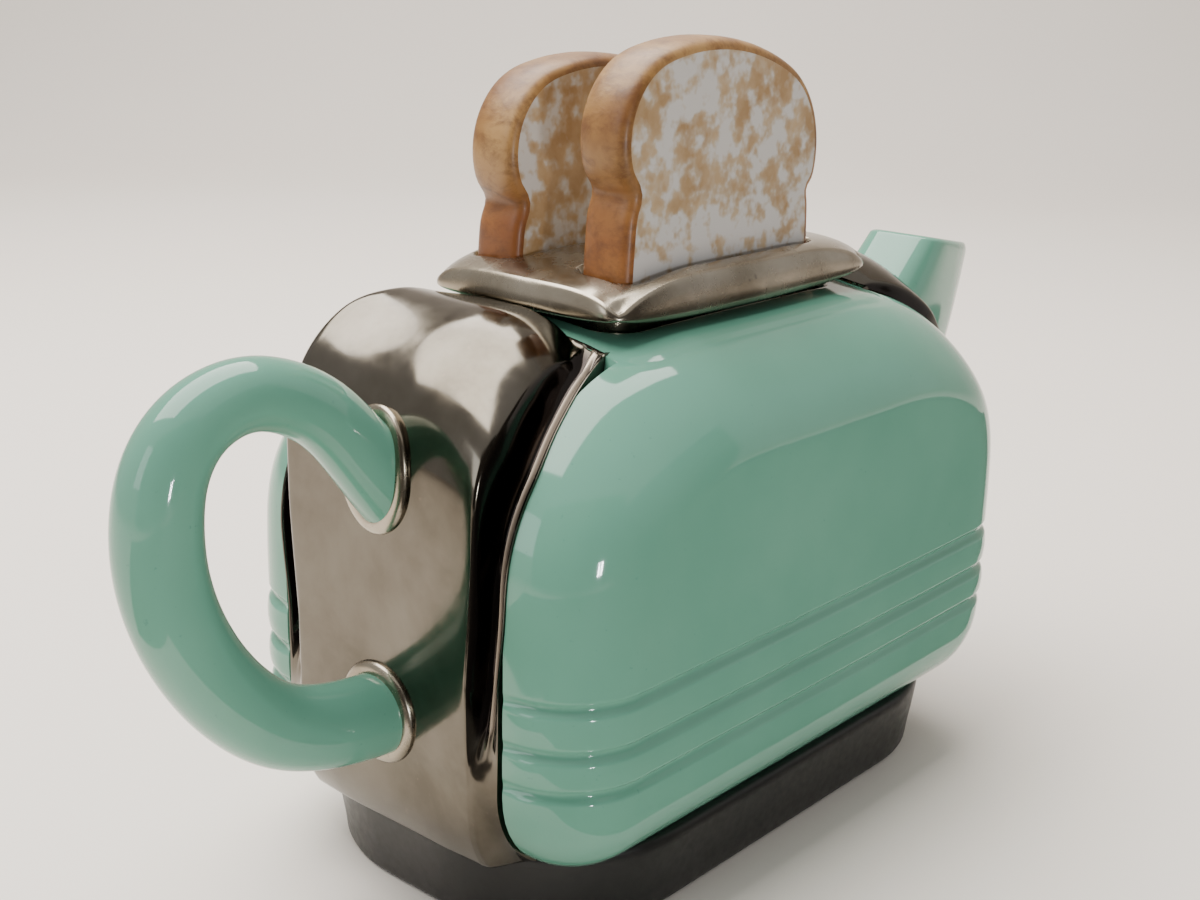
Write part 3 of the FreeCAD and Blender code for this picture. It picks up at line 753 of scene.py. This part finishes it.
def make_lid_tray(chrome):
    skin = Skin()
    marks_x = [centre + hand * half for centre, _, half, _ in SLOTS[:1] for hand in (-1, 1)]
    marks_y = [centre + hand * half for _, centre, _, half in SLOTS for hand in (-1, 1)]
    lines_u = lid_lines(LID_HALF[0] * 0.965, marks_x)
    lines_v = lid_lines(LID_HALF[1] * 0.955, marks_y)
    grid = {}
    for v in lines_v:
        row = []
        for u in lines_u:
            x, y = lid_plan(u, v)
            row.append((x, y, lid_top_height(u, v) - slot_depth(x, y)))
        for u, index in zip(lines_u, skin.add(row)):
            grid[u, v] = index
    for v, after_v in zip(lines_v, lines_v[1:]):
        for u, after_u in zip(lines_u, lines_u[1:]):
            skin.faces.append((grid[u, v], grid[after_u, v],
                               grid[after_u, after_v], grid[u, after_v]))
            skin.marks.append(0)
    edge = rim_ring(lines_u, lines_v)
    previous = [grid[pair] for pair in edge]
    plan = [Vector(lid_plan(u, v)) for u, v in edge]
    pushes = [(plan[(n + 2) % len(plan)] - plan[n - 2]).normalized() for n in range(len(plan))]
    for out, fall in ((0.22, 0.02), (0.5, 0.08), (0.78, 0.19), (1.0, 0.34), (1.15, 0.52),
                      (1.2, 0.7), (1.18, 0.84), (1.05, 0.94), (0.75, 1.0), (0.2, 1.02), (-1.4, 1.0)):
        row = []
        for (u, v), at, run in zip(edge, plan, pushes):
            high = lid_top_height(u, v)
            low = 115.2 + 1.8 * abs(u * v) ** 4 + 1.0 * abs(u) ** 12 * (1 - abs(v) ** 4)
            wide = 1.0 + 0.35 * (1 - abs(u * v))
            row.append((at.x + run.y * out * wide, at.y - run.x * out * wide, mix(high, low, fall)))
        current = skin.add(row)
        skin.join(previous, current)
        previous = current
    skin.fill(previous, (0.0, 0.0, 116.6))
    flange = []
    for half_x, half_y, level in ((36.0, 19.0, 116.5), (36.0, 19.0, 108.2), (35.4, 18.4, 107.2),
                                  (34.4, 17.4, 107.0), (33.5, 16.5, 107.2), (33.0, 16.0, 108.2),
                                  (33.0, 16.0, 116.5)):
        flange.append(rectangle_ring(half_x, half_y, 5.0, level))
    skin.stack(flange)
    make_piece("lid_tray_top", skin, [chrome], "lid", ["lid_tray"],
               sharp=70.0)


# A slice: its middle plane, its half-widths, the radii of its shoulders and dome, and its heights.
TOAST_MIDDLE = -4.4
TOAST_BULGE = 32.2
TOAST_STEM = 29.8
TOAST_FOOT = 119.8
TOAST_WAIST = 141.0
TOAST_HALF_THICKNESS = 6.0
TOAST_INSET = 2.0
DOME_RADIUS = 60.0
LEFT_SHOULDER = {"radius": 17.0, "height": 149.0}
RIGHT_SHOULDER = {"radius": 20.0, "height": 143.5}
FAR_TOAST_DROP = 5.0
FOOT_POINTS = 15


def arc(centre, radius, first, last, count):
    """Points round part of a circle, from one angle in degrees to another."""
    turns = [math.radians(angle) for angle in spread(first, last, count)]
    return [centre + Vector((math.cos(turn), math.sin(turn))) * radius for turn in turns]


def stem_points(edge, move, start, end, first, last, count):
    """Points down one side of a slice's stem, moved sideways between two heights."""
    return [Vector((edge + move * smooth(z, start, end), z)) for z in spread(first, last, count)]


def toast_outline(drop):
    """A slice's outline from its left foot over the dome to its right foot, as (x, z)."""
    left_radius, right_radius = LEFT_SHOULDER["radius"], RIGHT_SHOULDER["radius"]
    left = Vector((TOAST_MIDDLE - TOAST_BULGE + left_radius, LEFT_SHOULDER["height"] - drop))
    right = Vector((TOAST_MIDDLE + TOAST_BULGE - right_radius, RIGHT_SHOULDER["height"] - drop))
    across = right - left
    to_left, to_right = DOME_RADIUS - left_radius, DOME_RADIUS - right_radius
    run = (to_left ** 2 - to_right ** 2 + across.length ** 2) / (2 * across.length)
    fall = math.sqrt(to_left ** 2 - run ** 2)
    way = across.normalized()
    dome = left + way * run + Vector((way.y, -way.x)) * fall
    left_turn = math.degrees(math.atan2((left - dome).y, (left - dome).x))
    right_turn = math.degrees(math.atan2((right - dome).y, (right - dome).x))
    foot, waist = TOAST_FOOT, TOAST_WAIST - drop
    left_edge, right_edge = TOAST_MIDDLE - TOAST_STEM, TOAST_MIDDLE + TOAST_STEM
    points = stem_points(left_edge, -0.9, waist - 2, foot, foot, waist - 6, 9)
    points += stem_points(left_edge, 2.0, waist - 6, waist - 1, waist - 5, waist - 1, 5)
    points += arc(left, left_radius, 208.0, left_turn, 22)
    points += arc(dome, DOME_RADIUS, left_turn, right_turn, 22)[1:-1]
    points += arc(right, right_radius, right_turn, -24.0, 22)
    points += stem_points(right_edge, -1.4, waist - 9, waist - 4, waist - 5, waist - 9, 5)
    points += stem_points(right_edge, 0.5, waist - 8, foot, waist - 10, foot, 8)
    for _ in range(3):
        eased = points[:]
        for index in range(1, len(points) - 1):
            eased[index] = points[index] * 0.5 + (points[index - 1] + points[index + 1]) * 0.25
        points = eased
    return points


def make_toast(name, cad_node, side, drop, crust, crumb):
    """One slice: two flat crumb faces inside a soft, bulging crust."""
    skin = Skin()
    outline = toast_outline(drop)
    first, last = outline[0], outline[-1]
    outline += [last.lerp(first, share) for share in spread(0.05, 0.95, FOOT_POINTS)]
    count = len(outline)
    foot = count - FOOT_POINTS
    outwards = []
    for index in range(foot):
        run = (outline[min(index + 1, foot - 1)] - outline[max(index - 1, 0)]).normalized()
        outwards.append(Vector((-run.y, run.x)))
    outwards += [Vector((0.0, 0.0))] * (count - foot)
    centre = Vector((TOAST_MIDDLE, 140.0 - drop))
    middle_y = side * TOAST_AWAY
    half = TOAST_HALF_THICKNESS
    profile = [(share, -half, 1) for share in (0.05, 0.25, 0.45, 0.65, 0.8, 0.9, 0.97, 1.0)]
    for angle in range(12, 169, 12):
        turn = math.radians(angle)
        inset = TOAST_INSET - 2.5 * math.sin(turn) ** 0.8
        away = -half * math.copysign(abs(math.cos(turn)) ** 0.7, math.cos(turn))
        profile.append((inset, away, 0))
    profile += [(share, half, 1) for share in (1.0, 0.97, 0.9, 0.8, 0.65, 0.45, 0.25, 0.05)]
    rows = []
    for amount, away, kind in profile:
        row = []
        for point, outward in zip(outline, outwards):
            if kind:
                place = centre.lerp(point - outward * TOAST_INSET, amount)
            else:
                place = point - outward * amount
            row.append((place.x, middle_y + away, place.y))
        rows.append(skin.add(row))
    for number in range(len(rows) - 1):
        flat = profile[number][2] and profile[number + 1][2]
        skin.join(rows[number], rows[number + 1], mark=1 if flat else 0)
    skin.fill(rows[0], (centre.x, middle_y - half, centre.y), mark=1)
    skin.fill(rows[-1], (centre.x, middle_y + half, centre.y), mark=1)
    make_piece(name, skin, [crust, crumb], "lid", [cad_node], sharp=60.0)


# ---------------------------------------------------------------- materials


def new_material(name):
    """A material with an empty node tree but for its surface shader."""
    material = bpy.data.materials.new(name)
    material.use_nodes = True
    shader = material.node_tree.nodes["Principled BSDF"]
    return material, material.node_tree, shader


def node(tree, kind, **settings):
    made = tree.nodes.new(kind)
    for key, value in settings.items():
        if key in made.inputs:
            made.inputs[key].default_value = value
        else:
            setattr(made, key, value)
    return made


def noise(tree, place, scale, detail=4.0, rough=0.55, distortion=0.0):
    made = node(tree, "ShaderNodeTexNoise", Scale=scale, Detail=detail, Roughness=rough,
                Distortion=distortion)
    tree.links.new(place, made.inputs["Vector"])
    return made.outputs["Fac"]


def ramp(tree, fac, stops):
    """A colour ramp from (position, colour) stops."""
    made = tree.nodes.new("ShaderNodeValToRGB")
    elements = made.color_ramp.elements
    while len(elements) < len(stops):
        elements.new(0.5)
    for element, (position, colour) in zip(elements, stops):
        element.position = position
        element.color = tuple(colour) + (1.0,)
    tree.links.new(fac, made.inputs["Fac"])
    return made.outputs["Color"]


def grey_ramp(tree, fac, stops):
    return ramp(tree, fac, [(position, (value,) * 3) for position, value in stops])


def blend(tree, fac, first, second):
    """Mixes two colours, each a socket or a plain colour."""
    made = tree.nodes.new("ShaderNodeMix")
    made.data_type = "RGBA"
    for socket, value in ((made.inputs[0], fac), (made.inputs[6], first), (made.inputs[7], second)):
        if hasattr(value, "is_output"):
            tree.links.new(value, socket)
        elif isinstance(value, tuple):
            socket.default_value = value + (1.0,)
        else:
            socket.default_value = value
    return made.outputs[2]


def bump(tree, shader, height, strength, distance):
    made = node(tree, "ShaderNodeBump", Strength=strength, Distance=distance)
    tree.links.new(height, made.inputs["Height"])
    tree.links.new(made.outputs["Normal"], shader.inputs["Normal"])


def object_place(tree):
    return tree.nodes.new("ShaderNodeTexCoord").outputs["Object"]


def mint_glaze():
    """Glossy mint glaze: a little cloudy, with a slow ripple in its surface."""
    material, tree, shader = new_material("mint_glaze")
    place = object_place(tree)
    cloud = noise(tree, place, 26.0, 3.0)
    speck = noise(tree, place, 900.0, 2.0)
    base = ramp(tree, cloud, [(0.3, (0.108, 0.290, 0.210)), (0.7, (0.128, 0.322, 0.236))])
    dots = grey_ramp(tree, speck, [(0.70, 0.0), (0.78, 1.0)])
    shade = blend(tree, dots, base, (0.10, 0.26, 0.20))
    tree.links.new(shade, shader.inputs["Base Color"])
    ripple = noise(tree, place, 60.0, 2.0)
    bump(tree, shader, ripple, 0.08, 0.0006)
    shader.inputs["Roughness"].default_value = 0.07
    shader.inputs["IOR"].default_value = 1.5
    return material


def chrome_lustre(name, tone, cleanest, dullest):
    """Fired platinum lustre: a warm grey mirror with hazy stains and fine pits.

    A tone of 1 is the brightest, and its roughness wanders from cleanest to dullest. Where the mesh
    marks painted shade the chrome is painted nearly black, and where it marks a painted reflection it
    is painted a dull beige and made rougher.
    """
    material, tree, shader = new_material(name)
    place = object_place(tree)
    stain_and_painted_light = noise(tree, place, 42.0, 6.0, 0.6, 0.2)
    pits = noise(tree, place, 700.0, 3.0, 0.6)
    haze = noise(tree, place, 120.0, 5.0, 0.65)
    stops = [(0.34, (0.27, 0.230, 0.168)), (0.49, (0.38, 0.333, 0.258)),
             (0.56, (0.42, 0.372, 0.295)), (0.72, (0.50, 0.450, 0.370))]
    toned = [(position, tuple(part * tone for part in colour)) for position, colour in stops]
    base = ramp(tree, stain_and_painted_light, toned)
    marks = grey_ramp(tree, pits, [(0.66, 0.0), (0.74, 0.8)])
    shade = blend(tree, marks, base, (0.13, 0.105, 0.08))
    # Painted shade and painted reflection: marked points are painted nearly black, and the streak a
    # pale beige reflection.
    painted_shade_amount = node(tree, "ShaderNodeAttribute", attribute_name="painted_shade").outputs["Fac"]
    shade = blend(tree, painted_shade_amount, shade, (0.020, 0.015, 0.013))
    painted_reflection = node(tree, "ShaderNodeAttribute", attribute_name="painted_reflection").outputs["Fac"]
    shade = blend(tree, painted_reflection, shade, (0.60, 0.50, 0.40))
    tree.links.new(shade, shader.inputs["Base Color"])
    dull = grey_ramp(tree, haze, [(0.35, cleanest), (0.75, dullest)])
    dull = blend(tree, painted_reflection, dull, (0.55, 0.55, 0.55))
    tree.links.new(dull, shader.inputs["Roughness"])
    shader.inputs["Metallic"].default_value = 1.0
    shader.inputs["Coat Weight"].default_value = 0.25
    shader.inputs["Coat Roughness"].default_value = 0.05
    ripple = noise(tree, place, 45.0, 3.0)
    bump(tree, shader, ripple, 0.16, 0.0008)
    return material


def black_glaze():
    """Satin black with a faint brown cast and a fine tooth."""
    material, tree, shader = new_material("black_glaze")
    place = object_place(tree)
    cloud = noise(tree, place, 40.0, 4.0)
    tooth = noise(tree, place, 500.0, 3.0)
    tree.links.new(ramp(tree, cloud, [(0.3, (0.007, 0.007, 0.007)), (0.7, (0.013, 0.012, 0.011))]),
                   shader.inputs["Base Color"])
    tree.links.new(grey_ramp(tree, tooth, [(0.3, 0.34), (0.7, 0.46)]), shader.inputs["Roughness"])
    bump(tree, shader, tooth, 0.12, 0.0003)
    return material


def height_share(tree, place, low, high):
    """0 at the height low and 1 at the height high, in metres."""
    axes = node(tree, "ShaderNodeSeparateXYZ")
    tree.links.new(place, axes.inputs["Vector"])
    made = tree.nodes.new("ShaderNodeMapRange")
    made.inputs["From Min"].default_value = low
    made.inputs["From Max"].default_value = high
    tree.links.new(axes.outputs["Z"], made.inputs["Value"])
    return made.outputs["Result"]


def toast_crust():
    """Painted crust: orange brown, redder below the waist, streaked by a dry brush."""
    material, tree, shader = new_material("toast_crust")
    place = object_place(tree)
    stretch = node(tree, "ShaderNodeMapping", Scale=(1.5, 1.0, 1.5))
    tree.links.new(place, stretch.inputs["Vector"])
    streak = noise(tree, stretch.outputs["Vector"], 170.0, 7.0, 0.7, 0.3)
    patch = noise(tree, place, 60.0, 4.0)
    upper = ramp(tree, patch, [(0.34, (0.18, 0.074, 0.016)), (0.5, (0.28, 0.138, 0.036)),
                               (0.66, (0.39, 0.225, 0.078))])
    lower = ramp(tree, patch, [(0.36, (0.20, 0.060, 0.008)), (0.66, (0.29, 0.110, 0.022))])
    base = blend(tree, height_share(tree, place, 0.130, 0.146), lower, upper)
    dark = grey_ramp(tree, streak, [(0.44, 0.0), (0.66, 0.7)])
    shade = blend(tree, dark, base, (0.10, 0.030, 0.005))
    tree.links.new(shade, shader.inputs["Base Color"])
    bump(tree, shader, streak, 0.3, 0.0006)
    shader.inputs["Roughness"].default_value = 0.46
    shader.inputs["Coat Weight"].default_value = 0.15
    shader.inputs["Coat Roughness"].default_value = 0.25
    return material


def toast_crumb():
    """Painted crumb: white flecks sponged over tan, thickest low down."""
    material, tree, shader = new_material("toast_crumb")
    place = object_place(tree)
    fleck = noise(tree, place, 270.0, 2.5, 0.5, 0.0)
    region = noise(tree, place, 60.0, 3.0)
    tan = ramp(tree, noise(tree, place, 120.0, 4.0),
               [(0.35, (0.32, 0.190, 0.080)), (0.65, (0.46, 0.325, 0.185))])
    low_down = grey_ramp(tree, height_share(tree, place, 0.124, 0.158), [(0.0, 0.60), (1.0, 0.42)])
    amount = blend(tree, 0.45, fleck, region)
    amount = blend(tree, 0.28, amount, low_down)
    thin = grey_ramp(tree, amount, [(0.45, 0.0), (0.49, 0.5)])
    full = grey_ramp(tree, amount, [(0.49, 0.0), (0.54, 1.0)])
    shade = blend(tree, thin, tan, (0.46, 0.39, 0.30))
    shade = blend(tree, full, shade, (0.53, 0.51, 0.49))
    tree.links.new(shade, shader.inputs["Base Color"])
    bump(tree, shader, full, 0.25, 0.0003)
    shader.inputs["Roughness"].default_value = 0.5
    shader.inputs["Coat Weight"].default_value = 0.15
    shader.inputs["Coat Roughness"].default_value = 0.25
    return material


def paper_white():
    """The pale floor and backdrop."""
    material, tree, shader = new_material("pale_floor")
    place = object_place(tree)
    cloud = noise(tree, place, 3.0, 2.0)
    tree.links.new(ramp(tree, cloud, [(0.3, (0.85, 0.790, 0.725)), (0.7, (0.88, 0.820, 0.755))]),
                   shader.inputs["Base Color"])
    shader.inputs["Roughness"].default_value = 0.75
    return material


# ---------------------------------------------------------------- stage, light and camera

CAMERA_AIM = Vector((-4.53, 11.60, 75.94))
CAMERA_AZIMUTH = math.radians(-48.884)
CAMERA_ELEVATION = math.radians(17.304)
CAMERA_ROLL = math.radians(1.289)
CAMERA_DISTANCE = 368.84
CAMERA_LENS = 49.451
MAT_HEIGHT = 0.6


def make_floor():
    """A floor that curves up into a backdrop behind the pot, seen from the camera's side."""
    across = Vector((math.cos(CAMERA_AZIMUTH), math.sin(CAMERA_AZIMUTH)))
    away = Vector((-math.sin(CAMERA_AZIMUTH), math.cos(CAMERA_AZIMUTH)))
    profile = [(-2600.0, 0.0), (-600.0, 0.0), (300.0, 0.0), (900.0, 0.0)]
    for angle in range(5, 91, 5):
        turn = math.radians(angle)
        profile.append((900.0 + 500.0 * math.sin(turn), 500.0 * (1 - math.cos(turn))))
    profile.append((1400.0, 2600.0))
    columns = 9
    rows = []
    for back, rise in profile:
        row = []
        for side in spread(-3000.0, 3000.0, columns):
            place = across * side + away * back
            row.append((place.x * MM, place.y * MM, rise * MM))
        rows.append(row)
    points = [point for row in rows for point in row]
    faces = []
    for number in range(len(rows) - 1):
        for column in range(columns - 1):
            start = number * columns + column
            faces.append((start, start + 1, start + columns + 1, start + columns))
    mesh = bpy.data.meshes.new("pale_floor")
    mesh.from_pydata(points, [], faces)
    mesh.materials.append(paper_white())
    mesh.shade_smooth()
    floor = bpy.data.objects.new("pale_floor", mesh)
    bpy.context.scene.collection.objects.link(floor)


def make_board(name, corners, material):
    """A board the camera never sees. It shows in reflections and darkens what it shades."""
    mesh = bpy.data.meshes.new(name)
    mesh.from_pydata([Vector(corner) * MM for corner in corners], [], [(0, 1, 2, 3)])
    mesh.materials.append(material)
    board = bpy.data.objects.new(name, mesh)
    board.visible_camera = False
    bpy.context.scene.collection.objects.link(board)
    return board


def make_dark_boards():
    """Dark boards, upright and on the floor, which give the chrome and the glaze deep tones."""
    material, tree, shader = new_material("dark_board")
    cloud = noise(tree, object_place(tree), 4.0, 2.0)
    tree.links.new(ramp(tree, cloud, [(0.3, (0.02, 0.018, 0.016)), (0.7, (0.035, 0.031, 0.028))]),
                   shader.inputs["Base Color"])
    shader.inputs["Roughness"].default_value = 0.9
    for name, azimuth, away, half, low, high in (("board_camera_side", -49.0, 760, 640, 30, 980),
                                                 ("board_near_side", 14.0, 640, 330, 0, 560)):
        turn = math.radians(azimuth)
        across = Vector((math.cos(turn), math.sin(turn), 0.0))
        toward = Vector((math.sin(turn), -math.cos(turn), 0.0))
        corners = []
        for side, rise in ((-half, low), (half, low), (half, high), (-half, high)):
            corners.append(across * side + toward * away + Vector((0, 0, rise)))
        make_board(name, corners, material)
    # Painted dark reflections: these mats show only in reflections on the chrome and glaze, neither
    # seen nor shading.
    for name, low_x, high_x, low_y, high_y in (("mat_near", -600, 560, -600, -62),
                                               ("mat_handle", -600, -190, -62, 60)):
        corners = [(low_x, low_y, MAT_HEIGHT), (high_x, low_y, MAT_HEIGHT),
                   (high_x, high_y, MAT_HEIGHT), (low_x, high_y, MAT_HEIGHT)]
        mat = make_board(name, corners, material)
        mat.visible_diffuse = False
        mat.visible_shadow = False


def area_light(name, place, aim, width, height, power, colour):
    data = bpy.data.lights.new(name, "AREA")
    data.shape = "RECTANGLE"
    data.size = width * MM
    data.size_y = height * MM
    data.energy = power
    data.color = colour
    lamp = bpy.data.objects.new(name, data)
    lamp.location = Vector(place) * MM
    lamp.rotation_mode = "QUATERNION"
    lamp.rotation_quaternion = (Vector(aim) - Vector(place)).to_track_quat("-Z", "Y")
    bpy.context.scene.collection.objects.link(lamp)


def make_lights():
    warm = (1.0, 0.965, 0.92)
    cool = (0.93, 0.97, 1.0)
    area_light("overhead", (0, 320, 950), (0, 60, 60), 1200, 800, 27.0, warm)
    area_light("window_left", (-900, 120, 480), (0, 0, 70), 260, 420, 1.0, cool)
    for shift in (0, 26):
        area_light("window_pane", (-262 + shift, -505, 118), (-60, -40, 80), 12, 70, 0.45, cool)
    world = bpy.data.worlds.new("room")
    world.use_nodes = True
    background = world.node_tree.nodes["Background"]
    background.inputs["Color"].default_value = (0.98, 0.955, 0.93, 1.0)
    background.inputs["Strength"].default_value = 0.66
    bpy.context.scene.world = world


def make_camera():
    sin_a, cos_a = math.sin(CAMERA_AZIMUTH), math.cos(CAMERA_AZIMUTH)
    sin_e, cos_e = math.sin(CAMERA_ELEVATION), math.cos(CAMERA_ELEVATION)
    back = Vector((sin_a * cos_e, -cos_a * cos_e, sin_e))
    right = Vector((cos_a, sin_a, 0.0))
    up = back.cross(right)
    rolled_right = right * math.cos(CAMERA_ROLL) + up * math.sin(CAMERA_ROLL)
    rolled_up = up * math.cos(CAMERA_ROLL) - right * math.sin(CAMERA_ROLL)
    data = bpy.data.cameras.new("camera")
    data.lens = CAMERA_LENS
    data.sensor_width = 36.0
    camera = bpy.data.objects.new("camera", data)
    turn = Matrix((rolled_right, rolled_up, back)).transposed()
    place = (CAMERA_AIM + back * CAMERA_DISTANCE) * MM
    camera.matrix_world = Matrix.Translation(place) @ turn.to_4x4()
    data.clip_start = 0.01
    data.clip_end = 20.0
    bpy.context.scene.collection.objects.link(camera)
    bpy.context.scene.camera = camera


# ---------------------------------------------------------------- the assembly

mint = mint_glaze()
# Painted shade: the chrome ends take the lid's lustre toned to a third, darker for the dark room they
# reflect.
end_chrome_painted_shade = chrome_lustre("end_lustre_painted_shade", 0.30, 0.10, 0.22)
lid_chrome = chrome_lustre("lid_lustre", 0.9, 0.20, 0.34)
black = black_glaze()
crust = toast_crust()
crumb = toast_crumb()

make_pot_body(mint)
make_plinth(black)
make_end_cap("handle_end_chrome", -1, "handle_end_cap", end_chrome_painted_shade)
make_end_cap("spout_end_chrome", 1, "spout_end_cap", end_chrome_painted_shade)
make_handle(mint)
make_collar("upper_collar_ring", "upper_handle_collar", 91.2, 10.3, 9.3, lid_chrome)
make_collar("lower_collar_ring", "lower_handle_collar", 42.6, 8.5, 10.0, lid_chrome)
make_spout(mint)
make_lid_tray(lid_chrome)
make_toast("near_toast", "near_toast_slice", -1, 0.0, crust, crumb)
make_toast("far_toast", "far_toast_slice", 1, FAR_TOAST_DROP, crust, crumb)

make_floor()
make_dark_boards()
make_lights()
make_camera()
